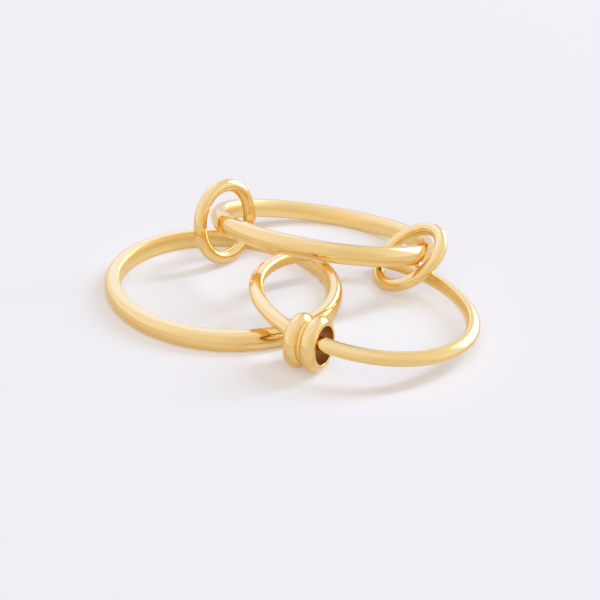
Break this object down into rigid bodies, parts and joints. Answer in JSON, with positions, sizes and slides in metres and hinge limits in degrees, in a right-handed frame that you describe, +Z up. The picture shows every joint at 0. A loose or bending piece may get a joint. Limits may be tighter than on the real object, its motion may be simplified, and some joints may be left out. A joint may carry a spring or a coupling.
{
  "type": "fidget ring",
  "caption": "Linked fidget ring: slim rounded finger bands joined by small round-wire hoops, with a ribbed spinner collar threaded on the slimmest band.",
  "frame": {"origin": "on the table, under the middle of the whole ring as it lies", "axes": "+X to the right along the ring's longest side, +Y away from the viewer, +Z up"},
  "size_m": [0.0312, 0.03, 0.0075],
  "materials": {
    "polished_gold": "mirror polished, gold coloured"
  },
  "bodies": {
    "linked_bands": {"left_band": "polished_gold", "top_band": "polished_gold", "right_band": "polished_gold", "left_link_hoop": "polished_gold", "right_link_hoop": "polished_gold"},
    "collar": {"spinner_collar": "polished_gold"}
  },
  "joints": [
    {"name": "collar_travel", "type": "hinge", "parent": "linked_bands", "child": "collar", "pos_m": [0.00645, -0.00579, 0.00228], "axis": [-0.0108, 0.0334, 0.9994], "range_deg": [0, 145]}
  ]
}
